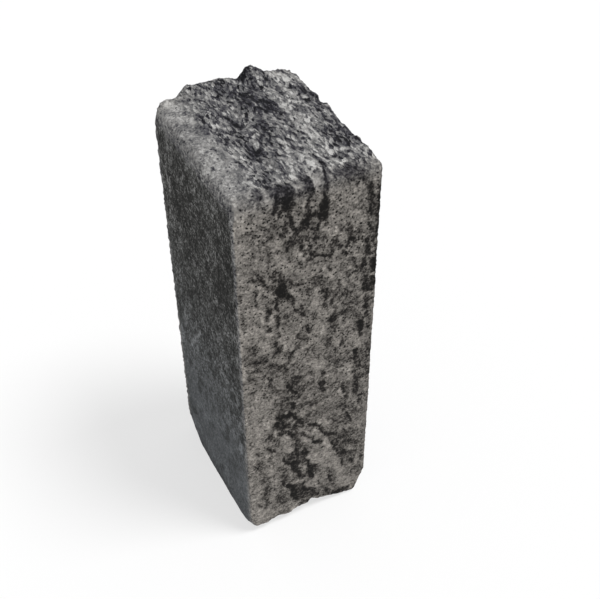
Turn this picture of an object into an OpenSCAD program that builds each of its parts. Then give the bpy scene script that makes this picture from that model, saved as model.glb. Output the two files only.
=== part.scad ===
// Concrete palisade: one cast block that stands on its foot, for edging beds and banks.
// Its four sides are moulded, its top is a rough split face, and its foot edge is chipped.
// Millimetres. The origin is the middle of the foot, +Z is up, and the front face looks along -Y.

/* [Block] */
// Width across the front face
block_w = 127; // [110:1:140]
// Depth from the front face to the back face
block_d = 156; // [130:1:170]
// Height of the front edge of the split top
block_h = 398; // [250:1:600]
// Radius of the worn upright edges
edge_r = 2; // [1.5:0.5:8]

/* [Split top] */
// Rise of the split face from the front edge to the back edge
top_rise = 8; // [0:1:14]
// How rough the split face is, as a share of the real lumps
top_rough = 1; // [0.2:0.1:1.5]
// Half the height of the broken stones that the split face shows
stone_relief = 1.6; // [0.5:0.1:2.5]
// Wear of the left top edge
left_wear = 9; // [4:1:12]
// Wear of the front top edge
front_wear = 6; // [2:0.5:8]
// Wear of the right and back top edges
back_wear = 2; // [2:0.5:8]
// Reach of the worn front left top corner
corner_wear = 18; // [8:1:24]
// Reach of the worn back left top corner
back_corner_wear = 11; // [4:1:24]

/* [Foot] */
// How rough the chipped foot edge is, as a share of the real chips
foot_rough = 1; // [0.3:0.1:1.2]
// How deep the front and back chips reach under the block for each millimetre of their height
chip_depth = 1.2; // [0.8:0.1:1.6]
// The same for the chips of the left and right side
side_chip_depth = 0.4; // [0.3:0.1:1]

/* [Hidden] */

$fn = 48;
over = 12;              // how far the rough faces run past the block
stone = 7;              // width of one broken stone of the split face
grid = stone / 2;       // spacing of the points of the rough faces
edge_lines = [0.4, 1.2, 2.6];   // distances of the closest points to an edge
corner_drop = 0.5;      // how steeply the worn front left corner falls
back_corner_drop = 3;
calm_w = 16;            // the left edge is worn smooth this far in, and rough past twice that
calm_share = 0.3;       // share of the broken stones' height that is left there

// Lumps and hollows of the split face: place as a share of the width and the depth
// from the front left corner, then height and radius
lumps = [
    [0.67, 0.97, 9, 7], [0.74, 0.94, 6, 9], [0.30, 0.98, 5, 18], [0.50, 0.94, 4, 16],
    [0.59, 1.00, -4, 6], [0.07, 0.95, -5, 15], [0.16, 1.00, -4, 5], [0.25, 1.00, 2, 4],
    [0.85, 1.00, -1, 6], [1.00, 0.98, -4, 6], [0.24, 0.72, 4, 13], [0.12, 0.50, 2, 20],
    [0.40, 0.62, -3, 12], [0.56, 0.74, 4, 13], [0.58, 0.46, 3, 10], [0.34, 0.36, -3, 14],
    [0.45, 0.20, 3, 12], [0.20, 0.18, 2, 14], [0.61, 0.07, 4, 9], [0.74, 0.19, -4, 6],
    [0.80, 0.55, 3, 14], [1.00, 0.63, -5, 5], [1.00, 0.74, -3, 8], [1.00, 0.44, -3, 11],
    [0.86, 0.78, 2, 10], [0.84, 0.10, 2, 10], [1.00, 0.88, -3, 22], [1.00, 0.33, -1.5, 9],
    [0.92, 0.04, -2, 10]
];

// Lower edge of the front face: place as a share of the width, height above the floor
front_chips = [
    [0, 21], [0.03, 12.5], [0.05, 10.5], [0.13, 8], [0.18, 10], [0.26, 12], [0.32, 8], [0.35, 9.5],
    [0.39, 13], [0.50, 13], [0.53, 18], [0.59, 12.5], [0.69, 9], [0.75, 6.5], [0.85, 3.5], [0.91, 3],
    [0.94, 7], [0.96, 21], [1, 32]
];
// The same along the left side and the right side: place as a share of the depth, height
left_chips = [
    [0, 22], [0.04, 16], [0.085, 9.5], [0.13, 7], [0.21, 6], [0.32, 4.5], [0.46, 4.5], [0.60, 3],
    [0.75, 3.5], [0.91, 3.5], [0.94, 8], [0.97, 18], [1, 28]
];
right_chips = [
    [0, 32], [0.05, 12], [0.10, 4], [0.25, 1.5], [0.50, 3], [0.58, 6], [0.66, 1.5], [0.9, 2], [1, 5]
];
// The back edge, as the front one
back_chips = [
    [0, 28], [0.03, 16], [0.07, 6], [0.20, 2], [0.42, 4], [0.50, 9], [0.60, 3], [0.80, 1.5], [1, 5]
];

// Heights of the broken stones, between -1 and 1, a row of them for each step of the depth
stone_cols = ceil((block_w + 2 * over) / stone) + 2;
stone_rows = ceil((block_d + 2 * over) / stone) + 2;
stone_heights = rands(-1, 1, stone_cols * stone_rows, 11);

function lump(x, y, l) =
    l[2] * exp(-(pow(x - l[0] * block_w, 2) + pow(y - l[1] * block_d, 2)) / pow(l[3], 2));
function lumps_at(x, y, i = 0) = i < len(lumps) ? lump(x, y, lumps[i]) + lumps_at(x, y, i + 1) : 0;
function stone_height(i, j) = stone_heights[i + stone_cols * j];
function ease(t) = t * t * (3 - 2 * t);
function between(a, b, t) = a * (1 - t) + b * t;
// Broken stones: heights at the corners of squares, blended over each square
function stones_at(x, y) =
    let (u = (x + over) / stone, v = (y + over) / stone, i = floor(u), j = floor(v),
         s = ease(u - i), t = ease(v - j))
    between(between(stone_height(i, j), stone_height(i + 1, j), s),
            between(stone_height(i, j + 1), stone_height(i + 1, j + 1), s), t);
// The worn left edge has few stones left standing
function calm(x) = between(calm_share, 1, max(0, min(1, x / calm_w - 1)));
// How far an edge of the given wear drops at a distance d inside it: a quarter round
function worn(d, r) = d >= r ? 0 : r - sqrt(r * r - pow(r - max(d, 0), 2));
function edges_at(x, y) =
    max(worn(x, left_wear), worn(block_w - x, back_wear), worn(y, front_wear), worn(block_d - y, back_wear))
    + max(0, corner_wear - max(x, 0) - max(y, 0)) * corner_drop
    + back_corner_drop * worn(max(x, 0) + max(block_d - y, 0), back_corner_wear);
function top_at(x, y) =
    block_h + top_rise * y / block_d - edges_at(x, y)
    + top_rough * (lumps_at(x, y) + stone_relief * calm(x) * stones_at(x, y));

// Underside of the chips: each edge's broken height, falling off towards the inside
function chip_at(d, along, chips, depth) = foot_rough * lookup(along, chips) - max(d, 0) / depth;
function under_at(x, y) =
    let (u = x / block_w, v = y / block_d)
    max(-over,
        chip_at(y, u, front_chips, chip_depth), chip_at(block_d - y, u, back_chips, chip_depth),
        chip_at(x, v, left_chips, side_chip_depth), chip_at(block_w - x, v, right_chips, side_chip_depth));

// Grid lines across a side of the given length, closer together near both edges
function lines(length) =
    concat([-over], edge_lines, [for (t = [grid:grid:length - grid]) t],
           [for (i = [len(edge_lines) - 1:-1:0]) length - edge_lines[i]], [length + over]);

// All that lies between the chipped underside and the split face, wider than the block
module rough_ends() {
    xs = lines(block_w);
    ys = lines(block_d);
    nx = len(xs);
    ny = len(ys);
    count = nx * ny;
    under = [for (y = ys) for (x = xs) [x - block_w / 2, y - block_d / 2, under_at(x, y)]];
    top = [for (y = ys) for (x = xs) [x - block_w / 2, y - block_d / 2, top_at(x, y)]];
    ends = [for (j = [0:ny - 2]) for (i = [0:nx - 2]) let (a = j * nx + i, b = a + count) each [
        [a, a + 1, a + nx], [a + 1, a + nx + 1, a + nx],
        [b, b + nx, b + 1], [b + 1, b + nx, b + nx + 1]
    ]];
    front_back = [for (i = [0:nx - 2]) let (a = i, b = (ny - 1) * nx + i) each [
        [a, a + count, a + count + 1, a + 1], [b + 1, b + count + 1, b + count, b]
    ]];
    left_right = [for (j = [0:ny - 2]) let (a = j * nx, b = a + nx - 1) each [
        [a + nx, a + nx + count, a + count, a], [b, b + count, b + nx + count, b + nx]
    ]];
    polyhedron(concat(under, top), concat(ends, front_back, left_right));
}

// The moulded sides: a straight prism with rounded upright edges, standing on the floor
module moulded_prism() {
    linear_extrude(block_h + 4 * over)
        union() {
            square([block_w - 2 * edge_r, block_d], center = true);
            square([block_w, block_d - 2 * edge_r], center = true);
            for (sx = [-1, 1]) for (sy = [-1, 1])
                translate([sx * (block_w / 2 - edge_r), sy * (block_d / 2 - edge_r)])
                    circle(edge_r);
        }
}

module palisade_block() {
    color([0.37, 0.36, 0.35])
        intersection() {
            moulded_prism();
            rough_ends();
        }
}

palisade_block();
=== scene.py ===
"""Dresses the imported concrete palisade: its worn mesh, its marbled concrete and a plain stage."""

from math import radians

import bpy
import numpy as np
from mathutils import Euler, Matrix, Vector


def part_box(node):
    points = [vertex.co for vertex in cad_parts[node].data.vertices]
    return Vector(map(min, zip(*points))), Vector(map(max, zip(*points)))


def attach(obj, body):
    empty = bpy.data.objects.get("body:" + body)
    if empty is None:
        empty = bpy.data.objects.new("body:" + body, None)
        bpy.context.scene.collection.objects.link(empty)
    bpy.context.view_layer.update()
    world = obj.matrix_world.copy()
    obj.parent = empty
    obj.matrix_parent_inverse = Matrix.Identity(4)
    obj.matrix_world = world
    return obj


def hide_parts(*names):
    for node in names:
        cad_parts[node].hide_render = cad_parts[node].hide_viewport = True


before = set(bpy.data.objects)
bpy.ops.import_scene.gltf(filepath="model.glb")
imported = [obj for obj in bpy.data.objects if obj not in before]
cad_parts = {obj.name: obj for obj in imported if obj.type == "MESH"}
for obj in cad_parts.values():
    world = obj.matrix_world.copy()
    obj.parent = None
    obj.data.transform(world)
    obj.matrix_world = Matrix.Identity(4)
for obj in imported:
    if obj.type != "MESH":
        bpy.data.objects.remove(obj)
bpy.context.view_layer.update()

bl_info = {
    "name": "Concrete palisade",
    "version": (1, 0, 0),
    "blender": (4, 5, 0),
    "location": "3D View > Sidebar > Palisade",
    "description": "Builds a split-top concrete palisade around its packed solid",
    "category": "Object",
}

BLOCK = "palisade_block"
MM = 0.001
LOW, HIGH = (np.array(corner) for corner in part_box(BLOCK))
WIDTH, DEPTH = (HIGH - LOW)[:2] / MM
TOP_LEVEL = 400                     # mean height of the split top in millimetres
SEAT = np.full(3, 0.02 * MM)        # how far the dressed surface keeps inside the solid's box

# Where the camera stands in metres, and how far it looks down, looks right and rolls in degrees
EYE = (-0.2724, -0.5901, 0.8093)
LOOK_DOWN, LOOK_RIGHT, ROLL = 42.1, 27.25, 0.31
# The way to the sun, and how many degrees of the sky it fills
SUN_SIDE = (0.3, -0.23, 0.8)
SUN_SPREAD = 20
FLOOR_SIZE = 12                     # metres

# Marbling of the two mixes, laid one by one: strokes from one point to another, each with a
# half-width and a strength. 1 is solid charcoal, 0.5 an even speckle, and a strength below
# zero is a pale patch. On the front the points are millimetres right of the left edge and
# above the foot.
FRONT_STROKES = (
    # blot under the top edge, with its arm and tail
    (44, 390, 45, 385, 6, 1.1), (39, 400, 36, 390, 2.2, 1), (36, 390, 34, 382, 1.8, 1),
    (41, 399, 48, 397, 3, 0.9), (25, 399, 25, 395, 2.6, 0.9),
    (15, 387, 16, 384, 1.6, 0.8), (47, 379, 48, 373, 1.8, 0.9), (48, 373, 49, 366, 2.2, 1),
    (49, 366, 52, 361, 1.6, 0.9), (39, 379, 39, 377, 1.2, 1), (39, 360, 40, 358, 1.3, 1),
    # thin wavy streak and the blots that it ends in
    (64, 399, 66, 391, 1.5, 0.9), (66, 391, 63, 383, 1.5, 0.9), (63, 383, 61, 374, 1.7, 1),
    (60, 397, 61, 385, 1, 0.6), (60, 366, 61, 362, 3.8, 1.1), (59, 360, 56, 357, 2.6, 1),
    (55, 357, 50, 351, 5, 0.95), (60, 353, 63, 350, 3, 0.8), (49, 347, 44, 345, 2.4, 0.9),
    # straight streak that widens into a wedge
    (81, 412, 78, 395, 1.1, 1.1), (78, 395, 77, 385, 1.8, 1.05), (77, 385, 77, 378, 2.2, 1),
    (77, 377, 75, 368, 4, 1.15), (72, 368, 71, 363, 2.5, 1), (75, 368, 77, 362, 3, 1),
    (72, 362, 70, 355, 2.2, 1), (69, 354, 69, 346, 2, 0.9), (69, 366, 69, 360, 1.5, 0.8),
    # fine network below it
    (57, 344, 58, 338, 2, 0.7), (59, 338, 60, 333, 1.6, 0.7), (66, 334, 64, 328, 1.6, 0.9),
    (64, 328, 70, 329, 1.4, 0.9), (70, 329, 76, 326, 1.3, 1), (76, 326, 82, 325, 1.5, 1),
    (83, 326, 85, 331, 1.6, 0.9), (85, 337, 85, 331, 3.4, 1), (88, 342, 86, 338, 1.3, 0.8),
    (90, 331, 92, 329, 2.4, 0.95), (99, 347, 100, 337, 2.2, 1), (100, 336, 103, 331, 2.4, 1),
    (98, 332, 97, 328, 1.6, 0.8), (94, 323, 96, 321, 2.2, 0.9), (56, 322, 57, 321, 1.4, 0.7),
    (106, 343, 110, 338, 2, 0.5), (108, 333, 111, 330, 2, 0.5),
    # top right corner and the band down the right edge
    (105, 396, 110, 391, 4, 1), (110, 391, 113, 387, 2.4, 0.9), (102, 390, 105, 386, 2, 0.9),
    (98, 396, 103, 393, 1.8, 0.8), (90, 400, 97, 396, 1.3, 0.8), (84, 400, 90, 398, 1.2, 0.6),
    (103, 406, 107, 402, 3, 0.7), (112, 404, 116, 398, 3, 0.5), (113, 385, 114, 378, 1.5, 0.7),
    (116, 382, 118, 370, 2.6, 0.9), (118, 370, 120, 352, 4, 1), (118, 350, 120, 338, 2.6, 0.8),
    (125, 372, 125, 345, 1.8, 1), (124, 382, 124, 376, 1.6, 0.8), (116, 328, 117, 313, 3, 1),
    (122, 328, 124, 318, 2.2, 0.8), (113, 308, 115, 301, 2, 0.9), (104, 312, 106, 303, 1.6, 0.8),
    (123, 303, 123, 292, 3, 1), (118, 296, 118, 290, 2, 0.7), (115, 286, 117, 276, 4, 1),
    (122, 284, 122, 272, 3, 0.95), (118, 266, 118, 255, 2.6, 1), (112, 246, 113, 240, 1.4, 0.8),
    (113, 239, 114, 229, 3.4, 1.1), (114, 228, 115, 223, 2, 1), (121, 240, 122, 226, 2, 0.6),
    (118, 248, 119, 243, 1.5, 0.8), (106, 296, 108, 290, 2, 0.5),
    # dusky stretches beside it
    (98, 280, 112, 264, 3, 0.6), (90, 284, 98, 276, 3, 0.5), (100, 272, 108, 262, 3, 0.5),
    (88, 268, 92, 260, 2, 0.6), (101, 259, 106, 254, 2, 0.6), (94, 300, 108, 285, 5, 0.4),
    (110, 270, 114, 262, 2.5, 0.6), (75, 288, 80, 281, 3.5, 0.8), (80, 286, 88, 280, 4, 0.75),
    (84, 276, 86, 268, 2, 0.8), (76, 275, 79, 271, 1.6, 0.7), (72, 305, 77, 298, 3, 0.55),
    (88, 296, 92, 290, 2.5, 0.5), (81, 311, 82, 309, 1.4, 0.9), (74, 311, 76, 308, 1.6, 0.6),
    (52, 306, 56, 305, 1.5, 0.6), (62, 308, 68, 305, 1.6, 0.6),
    # black blot with a tail, left of the middle, and the pores round it
    (38, 308, 40, 301, 5.6, 1.2), (37, 315, 40, 312, 2.4, 0.9), (43, 300, 46, 293, 3.2, 1.1),
    (46, 293, 49, 288, 2.4, 1), (33, 306, 34, 304, 2, 0.8), (34, 297, 35, 285, 1.8, 0.9),
    (27, 288, 26, 278, 2.2, 1), (35, 278, 35, 272, 1.8, 0.9), (35, 272, 35, 254, 1.1, 0.9),
    (27, 267, 26, 265, 1.8, 1.1), (36, 345, 36, 344, 1.5, 1.1), (28, 348, 29, 346, 1.3, 0.9),
    (21, 324, 21, 321, 2.2, 0.9), (21, 319, 23, 316, 1.6, 0.7), (32, 320, 33, 316, 2, 0.8),
    (27, 329, 30, 325, 1.6, 0.7), (14, 326, 16, 323, 1.6, 0.8), (16, 314, 16, 308, 1.3, 0.9),
    (4, 312, 4, 309, 1.3, 0.8), (16, 303, 17, 296, 1.3, 0.8),
    # smears and small blots in the middle
    (14, 235, 24, 232, 2.3, 1.05), (14, 240, 16, 237, 2, 0.7), (8, 226, 32, 225, 1.5, 0.5),
    (33, 248, 34, 243, 1.8, 0.8), (35, 242, 36, 238, 2.2, 1.05), (33, 238, 31, 234, 1.8, 0.9),
    (53, 237, 53, 234, 1.6, 1), (49, 232, 45, 228, 1.8, 0.95), (45, 226, 43, 222, 1.6, 0.9),
    (61, 256, 64, 250, 2.2, 1), (58, 257, 60, 254, 1.4, 0.8), (53, 249, 57, 244, 2.8, 0.9),
    (59, 243, 61, 241, 1.8, 0.9), (57, 273, 59, 270, 1.6, 0.7), (56, 280, 57, 277, 1.4, 0.6),
    (43, 276, 45, 274, 1.3, 0.7), (52, 278, 54, 276, 1.2, 0.6), (43, 250, 44, 248, 1.3, 0.6),
    (86, 257, 86, 252, 4, 0.95), (96, 249, 97, 245, 1.5, 0.8), (95, 223, 95, 220, 2.2, 0.8),
    (89, 216, 90, 213, 1.4, 0.7), (99, 208, 101, 206, 1.3, 0.7), (88, 262, 90, 260, 1.4, 0.6),
    (27, 208, 27, 200, 1.6, 0.85), (9, 200, 11, 199, 1.3, 0.7), (20, 192, 21, 188, 1.4, 0.7),
    (50, 199, 56, 198, 1.3, 0.7), (44, 194, 46, 188, 2.4, 0.9), (46, 188, 50, 180, 1.7, 0.9),
    (63, 199, 68, 197, 1.4, 0.6), (77, 195, 78, 190, 1.4, 0.7), (82, 201, 83, 199, 1.2, 0.6),
    (95, 194, 96, 191, 1.4, 0.6), (52, 196, 60, 184, 6, 0.35),
    # right edge below the middle
    (109, 206, 110, 196, 2.6, 1), (110, 196, 114, 186, 3, 0.9), (116, 200, 121, 186, 5, 0.6),
    (126, 205, 126, 190, 1.5, 0.7), (76, 181, 77, 170, 2.8, 0.8), (99, 168, 99, 156, 1.8, 0.9),
    (112, 170, 112, 162, 3, 0.8), (112, 160, 112, 150, 3.2, 1.05), (116, 182, 118, 170, 3.5, 0.6),
    (120, 165, 121, 150, 3, 0.5), (102, 150, 104, 145, 1.8, 0.8), (116, 140, 117, 137, 1.3, 0.8),
    # lower cluster with its tails
    (47, 167, 47, 161, 2.5, 0.95), (32, 158, 33, 154, 2.6, 0.9), (40, 155, 45, 152, 4.2, 1.1),
    (47, 151, 49, 148, 2.6, 0.9), (30, 147, 33, 143, 4.2, 1.15), (38, 143, 41, 140, 3.2, 1),
    (34, 134, 37, 132, 3, 1), (41, 132, 44, 129, 2, 0.9), (44, 128, 48, 123, 1.4, 0.9),
    (54, 142, 57, 136, 3.4, 0.85), (57, 134, 59, 131, 2, 0.9), (36, 166, 42, 162, 4, 0.5),
    (52, 148, 53, 144, 2, 0.6), (24, 137, 24, 133, 2.2, 1), (26, 132, 27, 130, 1.4, 0.8),
    (21, 119, 24, 115, 1.6, 0.95), (24, 115, 27, 111, 1.8, 0.95), (64, 131, 69, 127, 1.6, 0.95),
    (69, 127, 74, 123, 1.5, 1), (74, 117, 78, 111, 2, 0.95), (78, 111, 84, 107, 2.2, 0.85),
    (84, 107, 93, 101, 2.6, 0.8), (56, 122, 60, 116, 1.2, 0.8), (60, 116, 65, 110, 1.3, 0.9),
    (65, 110, 68, 106, 1.3, 0.9), (68, 103, 72, 101, 1.3, 0.9), (72, 101, 77, 97, 1.9, 1.05),
    (51, 120, 52, 108, 1.8, 0.65), (50, 102, 51, 97, 1.6, 0.8),
    # forked veins above the foot
    (38, 96, 40, 88, 1.8, 0.95), (40, 88, 47, 84, 3, 1), (47, 84, 49, 76, 2.8, 1.1),
    (49, 76, 50, 70, 2, 0.9), (51, 97, 52, 93, 2, 0.9), (44, 92, 50, 90, 2.4, 0.75),
    (59, 95, 61, 90, 3.2, 0.95), (61, 90, 61, 86, 2, 0.85), (62, 78, 64, 71, 2, 1),
    (64, 70, 71, 65, 3.2, 1.15), (64, 66, 66, 60, 3.8, 1.15), (66, 60, 67, 52, 2.6, 1),
    (52, 68, 55, 60, 1.8, 0.9), (55, 60, 58, 57, 2, 0.8), (57, 88, 56, 84, 1.5, 0.7),
    (41, 53, 44, 48, 2.2, 1.05), (45, 47, 46, 38, 2.8, 1.15), (46, 36, 50, 29, 2.8, 1.1),
    (50, 29, 52, 24, 2.2, 0.9), (55, 40, 60, 36, 3.4, 0.9), (60, 35, 66, 33, 2.6, 0.95),
    (58, 32, 60, 30, 2.4, 0.8), (54, 28, 58, 25, 2.6, 0.7), (66, 31, 70, 24, 1.8, 0.7),
    (18, 62, 18, 52, 2, 0.85), (18, 42, 18, 32, 2.4, 0.5), (30, 42, 31, 34, 2.6, 0.7),
    (35, 62, 36, 56, 2.2, 0.7), (36, 70, 38, 66, 1.5, 0.6), (26, 30, 27, 24, 2, 0.5),
    (20, 75, 22, 66, 2, 0.4),
    # dusky patch on the lower right, and the spots near the foot
    (88, 92, 91, 84, 1.3, 1), (91, 84, 95, 74, 1.5, 1), (96, 94, 106, 90, 4, 0.65),
    (98, 84, 108, 82, 4.5, 0.6), (99, 76, 106, 76, 3.5, 0.6), (96, 70, 101, 64, 1.6, 0.9),
    (101, 69, 104, 67, 2.8, 1.1), (101, 60, 101, 50, 2, 0.85), (104, 58, 106, 54, 2, 0.6),
    (110, 54, 111, 48, 2.6, 0.7), (112, 80, 115, 70, 2.6, 0.55), (108, 100, 114, 94, 3, 0.45),
    (103, 127, 105, 120, 1.2, 1), (105, 120, 109, 111, 1.4, 1.05), (109, 110, 112, 104, 1.5, 0.6),
    (121, 54, 122, 50, 1.8, 0.9), (119, 44, 120, 40, 1.5, 0.7), (85, 44, 86, 38, 1.4, 0.9),
    (86, 38, 89, 30, 1.6, 0.9), (75, 40, 76, 34, 1.4, 0.6), (84, 20, 85, 16, 2.4, 0.8),
    (104, 12, 108, 9, 2.4, 0.9), (92, 8, 98, 6, 1.8, 0.8), (70, 22, 74, 19, 1.6, 0.8),
    (110, 34, 112, 30, 1.6, 0.5), (113, 20, 114, 16, 1.5, 0.6),
    # smaller blots beside all of these, from the top down
    (99, 399, 104, 396, 3, 0.9), (104, 396, 110, 392, 3.4, 0.9), (95, 395, 101, 391, 1.6, 0.9),
    (101, 391, 104, 387, 1.7, 0.9), (66, 356, 67, 350, 2.5, 0.8), (51, 354, 57, 352, 4, 0.7),
    (97, 351, 99, 350, 2.5, 0.6), (83, 334, 86, 332, 2.5, 0.6), (38, 395, 44, 394, 2.5, 0.6),
    (44, 368, 43, 358, 2.5, 0.5), (43, 352, 42, 347, 3, 0.5), (110, 374, 113, 373, 3, 0.5),
    (102, 295, 106, 297, 3, 0.7), (96, 266, 100, 265, 3, 0.6), (8, 238, 20, 235, 6, 0.6),
    (92, 197, 106, 197, 4, 0.5), (50, 158, 66, 158, 6, 0.6),
    (28, 168, 32, 160, 4, 0.4), (117, 166, 119, 162, 3, 0.5), (102, 148, 108, 146, 3, 0.4),
    (83, 336, 85, 332, 3, 0.7), (108, 322, 113, 320, 3, 0.5), (52, 355, 58, 353, 4, 0.9),
    (63, 374, 67, 362, 1.8, 0.9), (74, 362, 78, 358, 2.5, 0.5),
    (8, 345, 15, 330, 5, 0.35), (45, 57, 49, 55, 3, 0.5), (98, 65, 106, 55, 4, 0.4),
    (62, 399, 63, 384, 1.3, 0.9), (84, 178, 90, 175, 4, 0.4),
    (82, 368, 80, 362, 2.5, 0.4), (118, 350, 122, 345, 2, 0.7), (126, 356, 126, 335, 1.5, 0.8),
    # dusky stretches of the speckle
    (56, 391, 58, 389, 2.5, 0.5), (5, 392, 7, 390, 3, 0.4), (12, 398, 15, 395, 3, 0.4),
    (16, 382, 28, 379, 4, 0.3), (14, 366, 10, 364, 3, 0.4), (34, 370, 31, 367, 3, 0.35),
    (22, 398, 25, 394, 3, 0.4), (9, 355, 12, 348, 5, 0.35), (5, 345, 10, 330, 5, 0.3),
    (42, 396, 47, 394, 3.5, 0.7), (70, 350, 75, 340, 6, 0.45), (91, 396, 96, 388, 4, 0.35),
    (90, 366, 94, 360, 3, 0.3), (106, 367, 110, 362, 3, 0.3), (75, 374, 77, 362, 3, 1),
    (44, 312, 47, 308, 3, 0.6), (108, 341, 111, 338, 2.5, 0.45), (112, 301, 114, 294, 3, 0.9),
    (70, 299, 84, 293, 3, 0.4), (9, 262, 12, 248, 5, 0.5), (15, 238, 22, 233, 3.5, 0.7),
    (7, 219, 12, 213, 4, 0.45), (28, 222, 40, 214, 5, 0.5), (51, 215, 56, 210, 4, 0.35),
    (80, 233, 83, 226, 4, 0.45), (61, 228, 62, 218, 2, 0.35), (118, 210, 124, 203, 3, 0.4),
    (34, 178, 50, 174, 4, 0.55), (30, 197, 38, 186, 4, 0.3), (46, 158, 54, 154, 4.5, 0.65),
    (36, 154, 44, 146, 6, 0.6), (46, 138, 51, 132, 4, 0.6), (60, 152, 68, 140, 6, 0.35),
    (50, 126, 54, 114, 3, 0.35), (11, 118, 16, 112, 4, 0.35), (94, 122, 104, 112, 5, 0.4),
    (110, 128, 118, 120, 4, 0.4), (89, 112, 94, 104, 3.5, 0.35), (86, 96, 94, 86, 4, 0.4),
    (100, 102, 106, 94, 3, 0.45), (38, 100, 46, 97, 3, 0.5), (51, 94, 54, 86, 3, 0.6),
    (56, 82, 59, 76, 3, 0.6), (33, 69, 38, 64, 3, 0.35), (68, 65, 78, 58, 4, 0.5),
    (49, 48, 58, 46, 4, 0.65), (102, 67, 114, 62, 3, 0.45), (11, 41, 14, 36, 3, 0.45),
    (10, 100, 16, 84, 4, 0.35), (60, 28, 68, 22, 4, 0.5), (33, 40, 36, 32, 3, 0.35),
    (100, 10, 105, 7, 3, 0.9), (84, 54, 90, 44, 3, 0.3), (96, 148, 116, 142, 4, 0.3),
    (50, 38, 54, 32, 4, 0.9), (76, 162, 80, 156, 3, 0.3),
    (8, 370, 22, 372, 3, 0.5), (52, 382, 56, 372, 4, 0.5), (66, 374, 70, 370, 3, 0.8),
    (56, 400, 62, 394, 3, 0.5), (98, 398, 104, 391, 3, 0.6), (63, 339, 67, 336, 2.5, 0.9),
    (42, 342, 47, 335, 3, 0.5), (33, 326, 38, 320, 3, 0.7), (50, 329, 60, 323, 3, 0.5),
    (27, 311, 32, 308, 3, 0.9), (6, 335, 10, 330, 3, 0.4), (26, 357, 32, 359, 2.5, 0.5),
    (75, 361, 78, 356, 2.5, 0.7), (4, 242, 14, 239, 4, 0.6), (16, 236, 21, 233, 3.5, 0.8),
    (16, 226, 20, 222, 2.5, 0.5), (24, 217, 27, 215, 2, 0.6), (91, 258, 98, 254, 4, 0.6),
    (110, 247, 115, 243, 3, 0.7), (85, 249, 90, 241, 2.5, 0.5), (83, 207, 90, 201, 4, 0.6),
    (109, 232, 111, 228, 2, 0.6), (71, 305, 80, 299, 3, 0.5), (57, 298, 64, 292, 3.5, 0.45),
    (38, 295, 46, 290, 2.5, 0.6), (87, 277, 92, 273, 2.5, 0.5), (57, 249, 59, 245, 2, 0.6),
    (2, 287, 5, 281, 4, 0.4), (25, 303, 30, 296, 3, 0.4), (125, 350, 125, 328, 2.5, 1),
    (126, 375, 126, 360, 1.5, 0.8), (125, 315, 126, 305, 2, 0.8), (8, 172, 13, 163, 4, 0.3),
    (36, 174, 44, 164, 4, 0.5), (50, 194, 56, 180, 4, 0.6), (42, 200, 46, 197, 2, 0.5),
    (66, 182, 70, 168, 5, 0.45), (72, 162, 76, 157, 3, 0.7), (29, 142, 36, 139, 3.5, 1),
    (20, 131, 31, 126, 3, 0.5), (11, 107, 15, 92, 3.5, 0.6), (48, 122, 54, 112, 3, 0.6),
    (48, 110, 53, 103, 3.5, 0.7), (53, 92, 50, 78, 3, 0.8), (58, 82, 66, 68, 3, 0.8),
    (36, 84, 39, 74, 2.5, 0.4), (38, 70, 36, 64, 3, 0.6), (13, 48, 19, 50, 3, 0.6),
    (29, 33, 39, 26, 3.5, 0.6), (17, 62, 22, 58, 2.5, 0.45), (14, 76, 19, 68, 3, 0.4),
    (80, 149, 84, 147, 3, 0.6), (88, 147, 95, 140, 3, 0.5), (62, 127, 66, 122, 3, 0.5),
    (58, 136, 64, 134, 2.5, 0.5), (85, 128, 91, 125, 3, 0.5), (100, 132, 106, 137, 3, 0.5),
    (108, 178, 112, 172, 3, 0.5), (120, 184, 123, 170, 3, 0.6), (90, 92, 97, 82, 3, 0.6),
    (100, 98, 106, 90, 3.5, 0.6), (100, 70, 108, 66, 4, 0.6), (110, 63, 113, 57, 2.5, 0.5),
    (89, 38, 94, 28, 3, 0.6), (112, 38, 122, 34, 3, 0.5), (56, 17, 63, 15, 2.5, 0.6),
    (60, 87, 76, 90, 3, 0.35), (98, 9, 106, 6, 3, 0.9), (84, 16, 90, 12, 3, 0.5),
    (118, 152, 119, 142, 3, 0.5),
    # pale patches
    (92, 392, 100, 362, 9, -0.1), (80, 352, 83, 344, 2.5, -0.4), (87, 350, 86, 344, 1.5, -0.8),
    (60, 215, 72, 204, 9, -0.3), (48, 246, 50, 240, 4, -0.25),
    (42, 122, 44, 105, 4, -0.3), (70, 92, 80, 72, 7, -0.3), (88, 60, 94, 40, 5, -0.2),
    (60, 122, 63, 117, 2.5, -0.4), (60, 76, 58, 68, 2, -0.5), (40, 158, 41, 156, 1.4, -1),
    (4, 395, 8, 330, 5, -0.3), (1, 300, 2, 220, 1.5, -0.5), (66, 338, 67, 336, 1.3, -0.9),
    (15, 170, 20, 110, 7, -0.2), (9, 50, 11, 20, 7, -0.2), (112, 215, 118, 210, 4, -0.3),
    (68, 250, 70, 238, 4, -0.2), (18, 388, 24, 374, 5, -0.3), (50, 388, 53, 368, 4, -0.35),
    (34, 356, 38, 340, 5, -0.35), (40, 332, 49, 324, 5, -0.45), (16, 318, 18, 310, 4, -0.35),
    (56, 317, 68, 312, 6, -0.3), (76, 310, 84, 306, 4, -0.35), (88, 300, 98, 292, 5, -0.4),
    (22, 282, 30, 276, 5, -0.45), (44, 289, 51, 286, 4, -0.3), (70, 291, 74, 286, 4, -0.4),
    (86, 285, 90, 280, 3.5, -0.35), (26, 268, 28, 262, 4, -0.45), (20, 254, 25, 244, 5, -0.35),
    (36, 264, 38, 238, 3.5, -0.4), (61, 248, 66, 240, 4, -0.35), (85, 270, 90, 262, 4, -0.45),
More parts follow.
